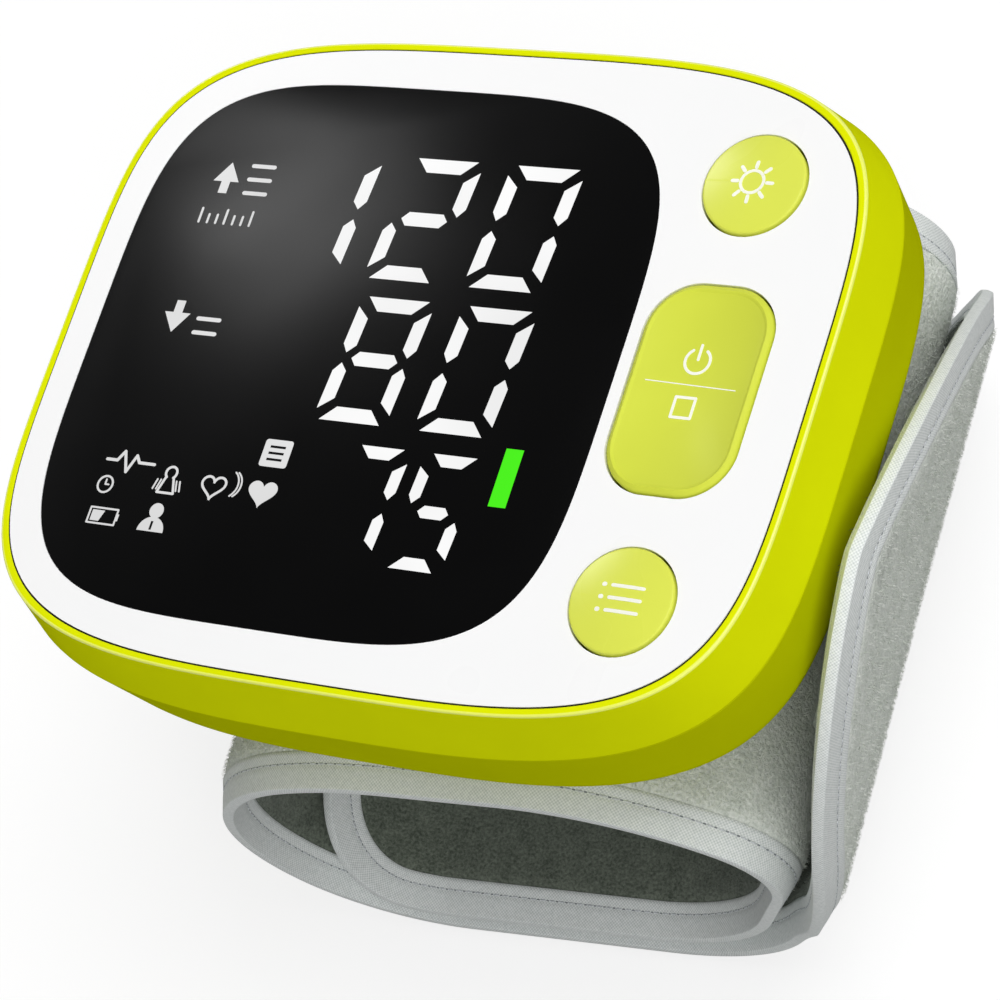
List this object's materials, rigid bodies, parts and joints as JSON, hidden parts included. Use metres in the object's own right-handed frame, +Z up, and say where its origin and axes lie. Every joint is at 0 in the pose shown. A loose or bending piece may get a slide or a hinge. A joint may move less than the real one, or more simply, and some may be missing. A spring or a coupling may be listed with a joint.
{
  "type": "wrist blood pressure monitor",
  "caption": "Wrist blood pressure monitor: rounded lime housing with a white face, dark window and push buttons, on a rolled fabric cuff with a free flap.",
  "frame": {"origin": "centre of the flat on the cuff's underside, where the rolled-up monitor stands", "axes": "+Z up, square out of the display; +Y towards the display's top edge, along the wrist; +X to the display's right, towards the buttons and the cuff's flap"},
  "size_m": [0.0906, 0.073, 0.0658],
  "materials": {
    "lime_case": "satin moulded",
    "white_panel": "gloss printed sheet",
    "black_glass": "polished black window",
    "dark_module": "matt",
    "green_board": "solder mask",
    "lime_key": "satin moulded",
    "switch_metal": "plain",
    "tray_plastic": "matt",
    "cell_sleeve": "printed sleeve",
    "contact_metal": "nickel plated",
    "steel": "plain",
    "black_plastic": "matt",
    "silicone": "soft tube",
    "grey_plastic": "matt",
    "fleece": "short pile",
    "binding_tape": "woven tape",
    "curler_plastic": "thin springy sheet",
    "bladder_rubber": "thin film",
    "hook_fabric": "hook side"
  },
  "bodies": {
    "monitor": {"front_case": "lime_case", "back_case": "lime_case", "face_panel": "white_panel", "display_lens": "black_glass", "display_module": "dark_module", "main_board": "green_board", "set_switch": "switch_metal", "start_switch": "switch_metal", "memory_switch": "switch_metal", "battery_tray": "tray_plastic", "battery_cell_1": "cell_sleeve", "battery_cell_2": "cell_sleeve", "contact_bridge": "contact_metal", "contact_plus": "contact_metal", "contact_minus": "contact_metal", "contact_spring_1": "contact_metal", "contact_spring_2": "contact_metal", "pump_head": "black_plastic", "pump_motor": "steel", "release_valve": "steel", "pressure_sensor": "black_plastic", "air_manifold": "tray_plastic", "pump_hose": "silicone", "valve_hose": "silicone", "sensor_hose": "silicone", "air_nozzle": "black_plastic", "cuff_plate": "grey_plastic", "case_screw_1": "steel", "case_screw_2": "steel", "case_screw_3": "steel", "case_screw_4": "steel", "plate_screw_1": "steel", "plate_screw_2": "steel", "plate_screw_3": "steel", "plate_screw_4": "steel", "cuff_shell": "fleece", "cuff_lining": "fleece", "cuff_binding": "binding_tape", "curler_sheet": "curler_plastic", "air_bladder": "bladder_rubber"},
    "set_key": {"set_button": "lime_key"},
    "start_key": {"start_button": "lime_key"},
    "memory_key": {"memory_button": "lime_key"},
    "battery_cover": {"battery_door": "lime_case"},
    "flap": {"flap_shell": "fleece", "flap_lining": "fleece", "flap_binding": "binding_tape", "hook_patch": "hook_fabric"}
  },
  "joints": [
    {"name": "set_press", "type": "slide", "parent": "monitor", "child": "set_key", "axis": [0, 0, -1], "range_m": [0, 0.0005], "stiffness_N_per_m": 600, "springref_m": -0.0002},
    {"name": "start_press", "type": "slide", "parent": "monitor", "child": "start_key", "axis": [0, 0, -1], "range_m": [0, 0.0005], "stiffness_N_per_m": 600, "springref_m": -0.0002},
    {"name": "memory_press", "type": "slide", "parent": "monitor", "child": "memory_key", "axis": [0, 0, -1], "range_m": [0, 0.0005], "stiffness_N_per_m": 600, "springref_m": -0.0002},
    {"name": "battery_cover_slide", "type": "slide", "parent": "monitor", "child": "battery_cover", "axis": [-1, 0, 0], "range_m": [0, 0.012]},
    {"name": "flap_fold", "type": "hinge", "parent": "monitor", "child": "flap", "pos_m": [0.02528, 0.00075, 0.01159], "axis": [-0.0297, 0.9996, 0], "range_deg": [0, 55], "stiffness_Nm_per_rad": 0.05, "springref_deg": -1.15}
  ]
}
